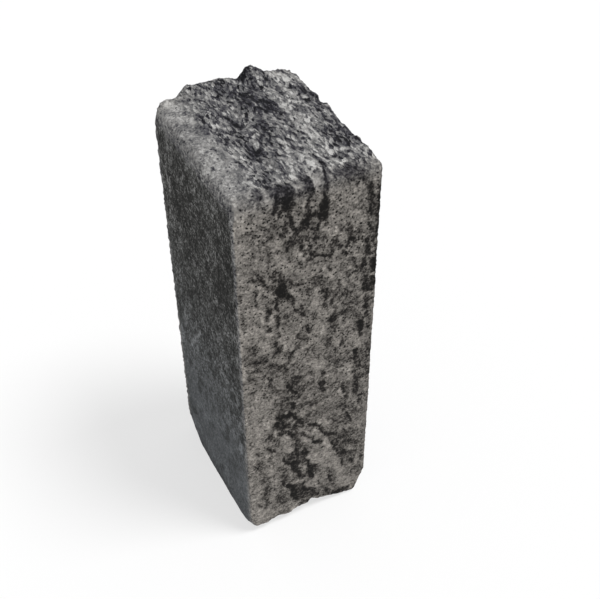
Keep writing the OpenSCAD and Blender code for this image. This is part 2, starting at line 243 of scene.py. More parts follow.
    (93, 251, 98, 243, 4, -0.45), (50, 236, 54, 222, 4, -0.35), (107, 224, 112, 214, 5, -0.4),
    (115, 246, 119, 236, 4, -0.3), (97, 350, 100, 338, 3.5, -0.3), (107, 394, 111, 376, 5, -0.4),
    (61, 388, 59, 376, 2, -0.4), (100, 404, 106, 400, 4, -0.3), (74, 400, 77, 388, 2, -0.3),
    (120, 354, 120, 344, 4, -0.3), (18, 192, 20, 184, 5, -0.35), (24, 154, 26, 138, 5, -0.55),
    (60, 190, 68, 168, 7, -0.25), (57, 134, 60, 128, 4, -0.4), (57, 118, 63, 108, 4, -0.4),
    (108, 108, 116, 98, 5, -0.4), (66, 84, 88, 74, 7, -0.35), (20, 94, 24, 82, 5, -0.35),
    (22, 72, 33, 68, 4, -0.35), (24, 46, 28, 32, 4, -0.4), (92, 64, 104, 54, 5, -0.3),
    (70, 46, 75, 36, 4, -0.35), (96, 30, 112, 16, 6, -0.4), (16, 24, 20, 14, 5, -0.3),
    (42, 24, 47, 14, 4, -0.4), (102, 78, 113, 72, 4, -0.3), (114, 196, 121, 186, 6, -0.4),
    (112, 160, 118, 150, 5, -0.35), (35, 130, 42, 106, 5, -0.3), (33, 96, 38, 84, 3, -0.3),
    (46, 357, 50, 352, 3.5, -0.7), (58, 356, 64, 350, 3.5, -0.7), (79, 392, 81, 380, 3, -0.5),
    (84, 362, 104, 354, 6, -0.35), (88, 380, 100, 372, 5, -0.25), (18, 340, 28, 330, 5, -0.35),
    (31, 318, 33, 315, 2, -0.6), (2, 358, 10, 353, 4, -0.5), (84, 334, 90, 326, 3, -0.4),
    (98, 330, 112, 324, 4, -0.35), (106, 316, 112, 313, 3, -0.5), (102, 306, 105, 303, 2.5, -0.5),
    (86, 298, 93, 292, 4, -0.5), (105, 292, 112, 284, 4, -0.6), (46, 300, 52, 295, 3, -0.5),
    (10, 273, 22, 268, 4, -0.35), (6, 264, 12, 260, 4, -0.5), (69, 278, 71, 270, 3, -0.5),
    (86, 268, 92, 263, 3, -0.5), (104, 272, 112, 264, 3, -0.4), (112, 266, 118, 258, 3.5, -0.5),
    (75, 265, 80, 258, 3, -0.4), (71, 251, 77, 243, 3.5, -0.45), (54, 258, 64, 252, 3, -0.4),
    (42, 250, 46, 244, 3, -0.5), (52, 236, 58, 232, 3, -0.5), (88, 229, 91, 220, 3.5, -0.6),
    (22, 206, 28, 201, 3, -0.4), (44, 228, 46, 220, 3, -0.35), (24, 176, 28, 162, 4, -0.5),
    (30, 183, 33, 178, 3, -0.4), (30, 199, 36, 196, 3, -0.4), (44, 148, 47, 140, 3, -0.7),
    (52, 156, 57, 148, 4, -0.6), (62, 155, 67, 150, 3.5, -0.5), (82, 186, 88, 178, 4, -0.5),
    (96, 194, 104, 184, 4, -0.5), (95, 158, 97, 152, 3, -0.5), (104, 147, 110, 140, 3.5, -0.5),
    (75, 128, 81, 122, 3.5, -0.6), (68, 118, 73, 110, 3.5, -0.5), (80, 98, 84, 86, 4, -0.6),
    (69, 82, 76, 66, 6, -0.55), (76, 64, 80, 56, 4, -0.5), (93, 56, 99, 42, 5, -0.5),
    (49, 55, 55, 51, 3.5, -0.7), (18, 28, 30, 23, 5, -0.35), (20, 70, 26, 66, 3, -0.4),
    (98, 106, 102, 102, 3, -0.4), (119, 163, 123, 150, 3.5, -0.5), (116, 177, 118, 173, 2.5, -0.6),
    (117, 47, 121, 41, 3, -0.4), (106, 14, 112, 9, 3, -0.5), (26, 43, 30, 39, 3, -0.35),
    (3, 122, 10, 110, 4, -0.35), (2, 166, 4, 154, 3, -0.3), (63, 378, 66, 375, 3, -0.6),
    (53, 386, 57, 378, 3, -0.4), (56, 402, 58, 397, 3, -0.6), (67, 364, 69, 361, 2, -0.7),
    (74, 356, 77, 352, 3, -0.6), (122, 385, 121, 374, 3, -0.5), (121, 365, 122, 353, 2.5, -0.5),
    (113, 391, 115, 386, 2.5, -0.4), (110, 348, 103, 345, 4, -0.5), (62, 341, 64, 341, 3, -0.5),
    (50, 335, 56, 333, 5, -0.4), (75, 338, 83, 336, 4, -0.4), (91, 340, 93, 337, 4, -0.4),
    (101, 382, 104, 372, 4, -0.3), (24, 371, 24, 370, 3, -0.4), (10, 375, 15, 374, 3, -0.4),
    (26, 310, 30, 300, 4, -0.7), (27, 395, 31, 392, 3.5, -0.6), (38, 328, 42, 326, 3, -0.5),
    (22, 222, 26, 218, 4, -0.5), (52, 250, 54, 246, 4, -0.5), (78, 206, 82, 204, 4, -0.5),
    (72, 166, 74, 162, 3, -0.5), (80, 152, 92, 146, 5, -0.5), (84, 278, 90, 268, 4, -0.4),
    (114, 296, 120, 290, 4, -0.4), (116, 268, 120, 266, 3, -0.5), (44, 114, 46, 112, 3, -0.5),
    (104, 178, 106, 172, 3, -0.4), (118, 322, 120, 316, 3, -0.5), (33, 142, 34, 134, 3, -0.5),
    (16, 290, 20, 286, 4, -0.3), (30, 235, 36, 225, 4, -0.3), (60, 42, 66, 36, 3, -0.4),
    (91, 372, 93, 370, 3, -0.4), (1, 378, 2, 345, 3, -0.4), (38, 344, 40, 343, 2.5, -0.4),
)

# On the split top they are millimetres right of the left edge and behind the front edge.
TOP_STROKES = (
    # main dark band, from the knob at the back towards the front; its first two strokes, on the
    # knob's left flank, are partly the dark mix and partly painted shade of that flank
    (77, 153, 77, 143, 2.5, 1.2), (80, 152, 84, 140, 4, 0.8), (82, 134, 85, 112, 5.5, 0.9),
    (70, 134, 74, 122, 6, 0.9), (66, 118, 68, 108, 5, 0.9), (78, 112, 82, 98, 7, 1),
    (58, 148, 62, 140, 5, 0.6), (62, 104, 66, 96, 5, 0.7), (74, 94, 84, 90, 6, 0.7),
    (64, 92, 65, 84, 3, 1), (72, 86, 78, 72, 6, 0.55), (58, 74, 68, 64, 6, 0.6),
    (80, 66, 86, 56, 4, 0.45), (72, 60, 75, 55, 2.5, 0.8),
    # blots left of it
    (46, 98, 51, 93, 3.5, 1), (50, 104, 44, 106, 2.5, 0.6), (42, 70, 51, 66, 4.5, 0.75),
    (42, 54, 50, 58, 5.5, 1.05), (40, 46, 44, 44, 3, 0.7), (23, 114, 24, 104, 3, 0.7),
    (36, 130, 37, 124, 1.8, 0.9), (17, 100, 20, 96, 2, 0.5), (27, 70, 29, 74, 1.5, 0.9),
    (20, 90, 22, 88, 1.5, 0.6), (28, 86, 32, 84, 2, 0.6), (22, 146, 24, 142, 2.5, 0.7),
    (33, 146, 34, 142, 2, 0.6), (26, 142, 50, 126, 9, 0.25), (30, 112, 54, 96, 10, 0.28),
    # spots in the pale stretch right of it
    (99, 121, 100, 117, 1.8, 0.9), (109, 118, 111, 125, 1.7, 1), (97, 86, 97, 92, 1.3, 1),
    (104, 83, 106, 91, 1.6, 1), (112, 84, 117, 82, 2.5, 0.9),
    # dark stretches along the right edge
    (116, 118, 119, 100, 5, 0.8), (122, 100, 124, 92, 3, 0.8), (118, 72, 120, 64, 4, 0.6),
    (112, 66, 114, 62, 3, 0.5), (112, 54, 120, 46, 6, 0.95), (106, 58, 108, 50, 3, 0.6),
    (106, 36, 118, 34, 4.5, 0.9), (108, 44, 116, 42, 4, 0.6), (124, 60, 124, 52, 2, 0.8),
    # smaller blots beside all of these, from the back to the front edge
    (46, 66, 48, 53, 4.5, 1.2), (61, 104, 61, 94, 3.5, 0.8), (70, 93, 73, 88, 4, 0.7),
    (79, 122, 87, 116, 4.5, 0.5), (34, 89, 37, 87, 3.5, 0.8),
    (23, 106, 26, 101, 4, 0.6), (47, 106, 49, 96, 3, 0.6), (35, 126, 37, 114, 3.5, 0.5),
    (15, 130, 19, 127, 3.5, 0.5), (8, 114, 9, 110, 4, 0.4), (5, 94, 8, 88, 4, 0.4),
    (110, 132, 113, 128, 3, 0.6), (102, 109, 103, 106, 2.5, 0.5), (112, 106, 114, 102, 2.5, 0.5),
    (104, 62, 108, 59, 4, 0.6), (84, 78, 88, 76, 5, 0.3),
    (68, 70, 71, 66, 3.5, 0.5),
    (53, 51, 57, 46, 4.5, 0.7), (30, 50, 33, 46, 3, 0.6),
    (111, 48, 116, 43, 4.5, 0.9), (122, 46, 124, 40, 2, 0.5), (93, 29, 97, 26, 3, 0.8),
    (101, 27, 107, 24, 3, 0.8), (85, 57, 86, 54, 2.5, 0.5), (92, 46, 94, 41, 2, 0.5),
    (52, 34, 55, 32, 4, 0.5), (29, 25, 33, 22, 4, 0.5),
    (28, 5, 34, 0, 4, 0.5), (107, 7, 110, 5, 3, 0.5), (8, 39, 21, 38, 4, 0.3),
    # crack, and the spots towards the front edge
    (83, 30, 84, 20, 1.6, 0.9), (84, 20, 83, 12, 1.8, 1), (83, 12, 79, -2, 1.3, 1.1),
    (59, 45, 60, 38, 1.6, 0.9), (40, 24, 44, 22, 2, 0.7), (18, 24, 19, 23, 1.3, 0.8),
    (51, 20, 51, 8, 1.8, 0.9), (31, 18, 36, 6, 3, 0.9), (38, 8, 46, 4, 3.5, 1),
    (42, 28, 44, 26, 1.5, 0.7), (73, 47, 74, 45, 1.6, 0.8), (92, 47, 93, 45, 1.4, 0.8),
    (97, 42, 98, 40, 1.3, 0.7), (101, 19, 104, 17, 2, 0.8), (108, 12, 109, 6, 2.5, 0.8),
    (113, 8, 114, 4, 2, 0.8), (100, 8, 100, 4, 1.5, 0.6), (104, 28, 106, 26, 2, 0.6),
    (62, 12, 63, 10, 1.2, 0.7), (66, 20, 67, 17, 1.3, 0.7), (8, 50, 8, 47, 1.2, 0.9),
    (9, 67, 13, 69, 0.9, 0.9),
    # dusky stretches of the speckle
    (48, 152, 56, 136, 5, 0.6), (56, 142, 66, 120, 6, 0.95), (94, 146, 99, 136, 4, 0.8),
    (87, 134, 99, 128, 5, 0.6), (96, 126, 99, 116, 3, 0.7), (10, 130, 20, 126, 5, 0.35),
    (8, 102, 22, 90, 8, 0.35), (45, 108, 48, 104, 3, 0.7), (70, 104, 76, 98, 4, 1.2),
    (118, 118, 124, 104, 4, 1.1), (111, 102, 117, 88, 4, 0.6), (26, 80, 34, 72, 5, 0.5),
    (38, 74, 47, 72, 4, 0.5), (42, 98, 48, 84, 4, 0.5), (32, 91, 36, 86, 3, 0.5),
    (60, 82, 66, 74, 3, 0.9), (66, 75, 68, 70, 3, 0.9), (56, 70, 58, 60, 3, 0.9),
    (40, 58, 50, 54, 4, 1.3), (46, 46, 60, 42, 5, 0.55), (54, 54, 62, 48, 4, 0.5),
    (75, 47, 80, 42, 4, 0.6), (82, 69, 88, 58, 4, 0.5), (101, 90, 104, 82, 3, 0.6),
    (103, 64, 107, 58, 3, 0.6), (82, 82, 84, 78, 3, 0.5), (102, 50, 106, 46, 3, 0.35),
    (110, 40, 123, 34, 5, 0.8), (50, 31, 54, 26, 3, 0.5), (30, 36, 38, 26, 5, 0.3),
    (34, 18, 38, 8, 3, 0.8), (38, 6, 40, 0, 3, 0.8), (16, 18, 18, 14, 3, 0.35),
    (110, 13, 112, 8, 3, 0.7), (88, 2, 94, 0, 3, 0.45), (22, 5, 27, 1, 3, 0.45),
    (120, 90, 125, 60, 3, 0.6), (112, 104, 122, 120, 4, 0.5), (30, 44, 24, 40, 4, 0.3),
    (63, 138, 69, 122, 4, 1.1), (46, 107, 49, 92, 3, 1.1), (32, 90, 35, 86, 2.5, 0.9),
    (61, 87, 65, 81, 3, 1), (37, 37, 41, 29, 3, 0.6), (52, 33, 55, 29, 2.5, 0.7),
    (61, 57, 65, 51, 2.5, 0.7), (105, 64, 107, 48, 2.5, 0.7), (91, 33, 93, 25, 2.5, 0.5),
    (101, 23, 111, 22, 2, 0.6), (45, 66, 46, 57, 5, 1.2), (66, 88, 72, 92, 4, 1),
    (72, 84, 71, 76, 3, 0.7), (70, 70, 71, 66, 3, 0.6), (62, 64, 65, 55, 3, 1),
    (112, 78, 113, 70, 4, 0.8), (107, 66, 108, 60, 4, 0.7), (116, 72, 117, 58, 3, 0.6),
    (94, 29, 98, 26, 3, 0.9), (102, 26, 108, 24, 3, 1), (108, 47, 116, 45, 3.5, 0.8),
    (92, 48, 93, 42, 2.5, 0.6), (50, 134, 48, 118, 4, 0.8),
    (55, 128, 52, 116, 3, 0.5), (42, 152, 44, 144, 4, 0.9), (44, 144, 49, 137, 3, 0.8),
    (28, 138, 34, 146, 4, 0.8), (38, 130, 39, 124, 3, 0.8), (80, 123, 88, 119, 5, 0.5),
    (18, 102, 25, 99, 4, 0.7), (32, 108, 34, 102, 3, 0.5), (33, 89, 37, 86, 3, 0.9),
    (45, 86, 44, 76, 3, 0.7), (60, 112, 60, 94, 3, 0.7), (27, 50, 32, 44, 3, 0.6),
    (18, 70, 23, 54, 3, 0.45), (84, 82, 86, 64, 4, 0.45), (84, 58, 85, 52, 3, 0.6),
    (106, 93, 108, 88, 3, 0.8), (114, 94, 116, 88, 3, 0.8), (111, 104, 113, 100, 2.5, 0.9),
    # On the next line, the stroke from 72 to 79 mm across, 150 mm back, is partly painted shade of
    # the knob's left flank.
    (96, 109, 97, 106, 2.5, 0.6), (72, 150, 79, 150, 4, 1), (40, 20, 38, 8, 4, 0.8),
    (51, 14, 52, 8, 3, 0.7), (18, 27, 24, 25, 3, 0.5), (54, 34, 57, 31, 2.5, 0.6),
    (109, 8, 110, 4, 2, 0.6), (73, 22, 72, 16, 2, 0.4), (71, 33, 73, 28, 2, 0.4),
    # pale patches and bright lumps; the strongest pale strokes left of the crack, 76 to 82 mm
    # across and within 30 mm of the front edge, are partly the pale mix and partly painted light on
    # a facet there that faces up
    (88, 30, 90, 12, 3, -0.4), (98, 80, 96, 60, 8, -0.35),
    (98, 145, 104, 110, 7, -0.3), (12, 150, 14, 130, 4, -0.6),
    (64, 136, 67, 133, 2.5, -0.9), (86, 142, 91, 139, 2.5, -0.7), (24, 134, 27, 128, 2.5, -0.5),
    (115, 108, 116, 104, 1.4, -1), (66, 72, 67, 68, 1.3, -0.7), (80, 84, 82, 80, 1.3, -0.7),
    (10, 60, 12, 40, 9, -0.15), (24, 150, 30, 142, 5, -0.5), (27, 136, 33, 128, 4, -0.45),
    (38, 144, 48, 136, 5, -0.3), (47, 124, 54, 116, 5, -0.35), (71, 129, 76, 124, 4, -0.4),
    (80, 124, 92, 110, 5, -0.45), (92, 112, 93, 86, 5, -0.45), (104, 146, 112, 128, 6, -0.5),
    (104, 124, 108, 112, 4, -0.5), (12, 116, 20, 106, 5, -0.4), (30, 102, 38, 95, 5, -0.45),
    (54, 105, 56, 98, 4, -0.4), (50, 90, 56, 78, 4, -0.5), (60, 94, 76, 88, 5, -0.5),
    (76, 86, 79, 70, 4, -0.55), (88, 78, 106, 68, 6, -0.25), (108, 90, 112, 80, 4, -0.45),
    (23, 72, 26, 62, 4, -0.35), (25, 57, 29, 51, 4, -0.35), (35, 65, 39, 60, 3, -0.4),
    (66, 62, 74, 53, 5, -0.5), (34, 52, 38, 40, 5, -0.35), (110, 60, 115, 46, 5, -0.4),
    (86, 54, 90, 34, 4, -0.5), (96, 42, 104, 30, 5, -0.55), (100, 30, 116, 26, 5, -0.5),
    (42, 36, 48, 30, 4, -0.3), (57, 32, 64, 20, 5, -0.5), (74, 34, 80, 12, 5, -0.55),
    (54, 14, 68, 4, 6, -0.55), (43, 16, 48, 6, 4, -0.45), (24, 22, 30, 8, 5, -0.4),
    (93, 18, 101, 8, 5, -0.45), (98, 6, 108, 0, 5, -0.5), (4, 46, 8, 41, 4, -0.35),
    (72, 8, 76, -2, 4, -0.5), (56, 92, 48, 84, 4, -0.35),
    (51, 69, 55, 54, 3, -0.5), (78, 29, 80, 5, 4, -0.95), (89, 127, 93, 113, 4, -0.6),
    (106, 145, 110, 130, 4, -0.6), (105, 123, 107, 113, 3, -0.6), (19, 85, 23, 77, 3, -0.4),
    (55, 129, 59, 123, 3, -0.4), (101, 33, 111, 29, 3, -0.6), (97, 65, 101, 42, 4, -0.45),
    (5, 103, 9, 93, 4, -0.3), (53, 67, 56, 57, 3, -0.8), (68, 102, 72, 99, 4, -0.5),
    (76, 98, 82, 93, 3, -0.4), (72, 124, 76, 112, 3, -0.3), (94, 90, 104, 79, 4, -0.4),
    (108, 147, 114, 137, 5, -0.7), (94, 127, 108, 120, 4, -0.4), (22, 126, 27, 114, 4, -0.5),
    (14, 142, 18, 136, 4, -0.4), (4, 130, 6, 124, 4, -0.35), (25, 86, 26, 76, 3, -0.4),
    (52, 80, 59, 79, 3, -0.4), (64, 48, 67, 36, 4, -0.6), (64, 32, 62, 22, 3, -0.4),
    (74, 46, 80, 36, 3, -0.5), (79, 26, 80, 8, 5, -1), (60, 15, 56, 4, 4, -0.6),
    (29, 18, 23, 6, 3, -0.5), (22, 41, 28, 34, 5, -0.45), (2, 54, 8, 44, 3, -0.4),
    (101, 60, 101, 40, 3, -0.5), (106, 41, 110, 38, 3, -0.4), (121, 33, 122, 22, 3, -0.5),
    (97, 19, 110, 16, 3, -0.5), (117, 12, 118, 4, 3, -0.5), (101, 7, 106, 4, 3, -0.4),
    (88, 38, 90, 30, 2.5, -0.3), (76, 14, 82, 12, 4, -0.9), (30, 40, 36, 37, 5, -0.5),
    (63, 52, 66, 48, 3.5, -0.5), (76, 52, 84, 48, 5, -0.4), (62, 26, 66, 20, 4, -0.35),
    (121, 31, 123, 26, 3, -0.5), (1, 55, 2, 48, 2, -0.4),
    (10, 24, 15, 20, 4, -0.3), (28, 17, 31, 15, 3, -0.4), (12, 142, 18, 138, 3.5, -0.5),
    (24, 134, 30, 126, 4, -0.4), (32, 137, 38, 134, 4, -0.3), (44, 134, 47, 128, 3.5, -0.5),
    (46, 152, 50, 142, 3, -0.6), (45, 117, 49, 111, 4, -0.5), (54, 118, 58, 110, 3, -0.4),
    (70, 106, 72, 100, 2.5, -0.6), (83, 133, 87, 129, 4, -0.4), (94, 130, 100, 124, 5, -0.5),
    (88, 108, 92, 104, 3, -0.3), (99, 101, 106, 97, 3.5, -0.4),
    (92, 88, 108, 72, 4, -0.6), (104, 76, 109, 70, 3, -0.5), (118, 86, 120, 76, 3, -0.6),
    (53, 80, 55, 72, 3, -0.5), (54, 66, 56, 60, 2.5, -0.6), (97, 62, 101, 48, 3.5, -0.4),
    (12, 68, 20, 50, 6, -0.25), (75, 64, 78, 60, 3, -0.4), (110, 147, 114, 142, 4, -0.6),
    (120, 102, 122, 98, 2, -0.5), (80, 142, 84, 134, 3, -0.3),
)

# On the left side they are millimetres behind the front edge and above the foot.
LEFT_STROKES = (
    # dusky spots of the upper half
    (56, 391, 60, 389, 3, 0.8), (110, 392, 114, 386, 3.5, 0.7), (10, 385, 22, 378, 5, 0.5),
    (6, 372, 16, 370, 4, 0.5), (78, 358, 90, 350, 4, 0.8), (82, 372, 90, 366, 3, 0.5),
    (110, 330, 120, 312, 4, 0.7), (118, 345, 122, 340, 3, 0.7), (125, 322, 132, 318, 4, 0.6),
    (5, 297, 10, 292, 4, 0.9), (20, 290, 26, 284, 3, 0.6), (30, 320, 40, 290, 8, 0.35),
    (60, 300, 58, 285, 4, 0.4), (95, 325, 105, 316, 5, 0.5), (104, 285, 112, 270, 5, 0.5),
    (108, 236, 114, 228, 5, 0.6), (145, 300, 148, 296, 2.5, 0.8), (33, 345, 36, 341, 3, 0.7),
    (5, 345, 8, 325, 3, 0.5), (72, 275, 76, 268, 4, 0.4), (30, 240, 35, 232, 4, 0.4),
    (10, 225, 20, 215, 5, 0.4), (146, 390, 150, 382, 3, 0.9), (147, 345, 152, 338, 3, 0.8),
    (30, 355, 70, 340, 8, 0.3), (60, 330, 90, 300, 12, 0.25), (12, 340, 24, 300, 8, 0.3),
    # and of the lower half
    (22, 180, 26, 172, 4, 0.7), (4, 190, 8, 180, 3, 0.7), (3, 145, 10, 130, 4, 0.8),
    (26, 158, 32, 150, 4, 0.5), (72, 185, 76, 170, 5, 0.4), (60, 175, 66, 165, 4, 0.4),
    (48, 142, 54, 130, 4, 0.4), (44, 115, 48, 95, 5, 0.5), (52, 96, 56, 90, 4, 0.4),
    (75, 110, 82, 100, 4, 0.4), (108, 120, 114, 100, 4, 0.5), (84, 78, 92, 70, 4, 0.6),
    (110, 70, 116, 64, 4, 0.4), (130, 125, 134, 118, 4, 0.5), (130, 50, 142, 44, 4, 0.4),
    (148, 50, 152, 42, 4, 0.7), (66, 32, 72, 24, 3, 0.5), (150, 180, 154, 170, 4, 0.5),
    (72, 215, 88, 175, 5, 0.35), (55, 362, 88, 340, 5, 0.3), (85, 320, 105, 305, 5, 0.35),
    (20, 95, 40, 60, 10, 0.25), (58, 240, 66, 225, 4, 0.3), (120, 312, 130, 308, 4, 0.4),
    # pale flecks
    (90, 75, 120, 70, 8, -0.25), (60, 30, 140, 22, 16, -0.25), (28, 244, 50, 228, 8, -0.45),
    (36, 275, 44, 260, 5, -0.3), (136, 235, 142, 225, 5, -0.4), (125, 275, 145, 262, 6, -0.3),
    (25, 362, 27, 364, 2.5, -0.6), (38, 366, 50, 363, 3.5, -0.5), (63, 371, 66, 368, 2.5, -0.7),
    (75, 364, 82, 361, 3, -0.6), (133, 330, 136, 337, 4, -0.9), (55, 314, 62, 314, 3, -0.4),
    (9, 303, 11, 298, 2.5, -0.8), (44, 276, 48, 270, 3, -0.5), (10, 264, 18, 260, 3, -0.6),
    (64, 256, 66, 251, 2.5, -0.5), (28, 380, 36, 374, 5, -0.3), (96, 300, 100, 284, 5, -0.25),
    (112, 298, 118, 294, 3, -0.4), (75, 387, 80, 378, 6, -0.3), (140, 300, 148, 280, 5, -0.3),
    (120, 375, 135, 360, 6, -0.25), (140, 240, 143, 236, 3, -0.5), (125, 195, 132, 186, 4, -0.3),
    (78, 236, 84, 232, 3, -0.35), (144, 158, 148, 142, 5, -0.4), (10, 126, 14, 114, 4, -0.5),
    (40, 128, 44, 122, 2, -0.4), (3, 62, 6, 48, 4, -0.5), (56, 188, 60, 184, 3, -0.3),
    # scratch
    (92, 199, 104, 182, 1.1, -1.1), (104, 182, 122, 155, 1.2, -1.2),
)

# The crack in the split top, as strokes on it; their strengths are shares of its depth.
CRACK = ((80, 38, 83, 24, 1, 0.7), (83, 24, 83, 12, 1.2, 1), (83, 12, 83, 3, 1, 0.8))

NOISE_CELLS = 98                    # squares each way before the strokes' noise repeats


def only(piece):
    """Leaves one object selected and active."""
    bpy.ops.object.select_all(action="DESELECT")
    piece.select_set(True)
    bpy.context.view_layer.objects.active = piece


def vectors(items, what):
    """What each point or face of a mesh holds under that name, as rows of three numbers."""
    flat = np.empty(len(items) * 3, np.float32)
    items.foreach_get(what, flat)
    return flat.reshape(-1, 3).astype(float)


def surface(mesh):
    """Each point's millimetres from the left edge, the front edge and the foot, and its normal."""
    x, y, z = vectors(mesh.vertices, "co").T / MM
    return x - LOW[0] / MM, y - LOW[1] / MM, z, vectors(mesh.vertices, "normal")


def ramp(value, low, high):
    """0 at low, 1 at high, smooth between them; low may be above high."""
    t = np.clip((value - low) / (high - low), 0, 1)
    return t * t * (3 - 2 * t)


def noise(spots, size, seed):
    """Smooth noise between -1 and 1 over flat places, from a seeded square of random values."""
    values = np.random.default_rng(seed).uniform(-1, 1, (NOISE_CELLS + 1, NOISE_CELLS + 1))
    cell, part = np.divmod(spots / size, 1)
    part = part * part * (3 - 2 * part)
    i, j = cell.astype(int).T % NOISE_CELLS
    u, v = part.T
    low = values[i, j] * (1 - u) + values[i + 1, j] * u
    high = values[i, j + 1] * (1 - u) + values[i + 1, j + 1] * u
    return low * (1 - v) + high * v


def stroke_field(across, along, strokes, ragged=1):
    """The strongest dark stroke at each point less the strongest pale one.

    The strokes are torn by noise of 5 and 2.2 mm, and they fade from under half their half-width
    to a little past it."""
    spots = np.stack((across, along), 1)
    across = across + ragged * (1.2 * noise(spots, 5, 1) + 0.8 * noise(spots, 2.2, 2))
    along = along + ragged * (1.2 * noise(spots, 5, 3) + 0.8 * noise(spots, 2.2, 4))
    dark, pale = np.zeros((2, len(across)))
    for x0, y0, x1, y1, half, strength in strokes:
        run = np.array((x1 - x0, y1 - y0), float)
        share = ((across - x0) * run[0] + (along - y0) * run[1]) / max(run @ run, 1e-9)
        share = np.clip(share, 0, 1)
        gap = np.hypot(across - x0 - share * run[0], along - y0 - share * run[1])
        cover = abs(strength) * ramp(gap, 1.25 * half + 0.9, 0.45 * half)
        if strength > 0:
            dark = np.maximum(dark, cover)
        else:
            pale = np.maximum(pale, cover)
    return dark - pale


def weigh(piece, name, weights):
    """A vertex group from an array of weights."""
    group = piece.vertex_groups.new(name=name)
    for index in np.flatnonzero(weights > 0.01):
        group.add([int(index)], float(weights[index]), "REPLACE")


def press(piece, name, depth, kind, size, group, level, drawn, **settings):
    """Presses a texture with grains of a real size in millimetres in where a vertex group says.

    At level 1 it only goes inwards, and at 0.5 half of it stands out. Drawn is how many times
    as long as wide its grains are, from front to back."""
    rack = bpy.data.objects.new("rack", None)
    rack.scale = (1, drawn, 1)
    rack.rotation_euler = (0, 0, radians(5))
    bpy.context.scene.collection.objects.link(rack)
    displace = piece.modifiers.new(name, "DISPLACE")
    displace.strength = depth
    displace.mid_level = level
    displace.vertex_group = group
    displace.texture = texture = bpy.data.textures.new(name, kind)
    displace.texture_coords = "OBJECT"
    displace.texture_coords_object = rack
    texture.noise_scale = size * MM
    for key, value in settings.items():
        setattr(texture, key, value)
    bpy.context.view_layer.update()
    bpy.ops.object.modifier_apply(modifier=name)
    bpy.data.objects.remove(rack)


def sink(piece, name, depth, group):
    """Sinks the surface by an even depth where a vertex group says."""
    displace = piece.modifiers.new(name, "DISPLACE")
    displace.strength = -depth
    displace.mid_level = 0
    displace.vertex_group = group
    bpy.ops.object.modifier_apply(modifier=name)


def select_faces(mesh, chosen):
    """Selects faces by an array of booleans; call it in object mode."""
    mesh.vertices.foreach_set("select", np.zeros(len(mesh.vertices), bool))
    mesh.edges.foreach_set("select", np.zeros(len(mesh.edges), bool))
    mesh.polygons.foreach_set("select", chosen)


def block_mesh(grain):
    """The solid's shape as an even mesh: fine on the front and top, twice as wide elsewhere."""
    piece = bpy.data.objects.new("marbled_block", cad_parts[BLOCK].data.copy())
    bpy.context.scene.collection.objects.link(piece)
    only(piece)
    bpy.ops.object.mode_set(mode="EDIT")
    bpy.ops.mesh.select_all(action="SELECT")
    bpy.ops.mesh.remove_doubles(threshold=1e-6)
    bpy.ops.object.mode_set(mode="OBJECT")
    piece.data.remesh_voxel_size = 2 * grain
    piece.data.remesh_voxel_adaptivity = 0
    bpy.ops.object.voxel_remesh()
    normal = vectors(piece.data.polygons, "normal")
    height = vectors(piece.data.polygons, "center")[:, 2]
    front = normal[:, 1] < -0.5
    top = (normal[:, 2] > 0.3) & (height > HIGH[2] - 40 * MM)
    select_faces(piece.data, front | top)
    bpy.ops.object.mode_set(mode="EDIT")
    bpy.ops.mesh.subdivide(number_cuts=1)
    bpy.ops.object.mode_set(mode="OBJECT")
    even = piece.modifiers.new("even", "SMOOTH")
    even.factor = 0.5
    even.iterations = 2
    bpy.ops.object.modifier_apply(modifier="even")
    # Smoothing draws the edges in; this lays the mesh on the solid again.
    close = piece.modifiers.new("close", "SHRINKWRAP")
    close.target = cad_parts[BLOCK]
    close.wrap_method = "NEAREST_SURFACEPOINT"
    bpy.ops.object.modifier_apply(modifier="close")
    return piece


def shape_surface(piece, props):
    """Presses wear, split grain and pits into the even mesh.

    The ramps run over millimetres, or over how far the surface faces up or down."""
    x, y, z, normal = surface(piece.data)
    from_side, from_end = np.minimum(x, WIDTH - x), np.minimum(y, DEPTH - y)
    rim = np.minimum(from_side, from_end)
    corner = np.hypot(from_side, from_end)
    up = normal[:, 2]
    split = ramp(up, 0.1, 0.6) * ramp(z, 370, 385) * (0.4 + 0.6 * ramp(rim, 0, 6))
    arris = np.maximum(ramp(corner, 9, 2), ramp(z, 378, 396) * ramp(rim, 12, 2))
    ragged = 0.6 + 0.4 * ramp(x, 12, 2) * ramp(y, DEPTH - 12, DEPTH - 2)
    weigh(piece, "split", split)
    weigh(piece, "arris", ragged * arris * (z > 0.5))
    weigh(piece, "foot", ramp(up, -0.15, -0.5) * ramp(z, 0.3, 2) * ramp(z, 60, 40))
    weigh(piece, "sides", ramp(np.abs(up), 0.6, 0.3) * ramp(z, 0.5, 4))
    weigh(piece, "crack", stroke_field(x, y, CRACK, 0.3) * split)
    press(piece, "broken", props.shards, "VORONOI", 2.6, "split", 0.3, 2.2, weight_1=-1, weight_2=1)
    for name, depth, size, group, level, drawn, octaves in (
            ("grains", props.grains, 2.2, "split", 0.4, 1.8, 2),
            ("worn edge", props.wear, 4, "arris", 0.5, 1, 2),
            ("broken foot", props.chips, 4, "foot", 0.5, 1, 2),
            ("uneven sides", props.waves, 30, "sides", 1, 1, 1),
            ("sandy sides", props.sand, 2.4, "sides", 1, 1, 1)):
        press(piece, name, depth, "CLOUDS", size, group, level, drawn, noise_depth=octaves)
    sink(piece, "crack", props.crack, "crack")
    piece.vertex_groups.clear()
    # Nothing may pass the solid's box, and the foot stands level.
    inside = np.clip(vectors(piece.data.vertices, "co"), LOW + SEAT, HIGH - SEAT)
    inside[:, 2] = np.where(inside[:, 2] < 2 * SEAT[2], 0, inside[:, 2])
    piece.data.vertices.foreach_set("co", inside.astype(np.float32).ravel())
    piece.data.update()


def store(mesh, **fields):
    """Stores values on the mesh's points, under the names that the material reads."""
    for name, values in fields.items():
        attribute = mesh.attributes.new(name, "FLOAT", "POINT")
        attribute.data.foreach_set("value", values.astype(np.float32))


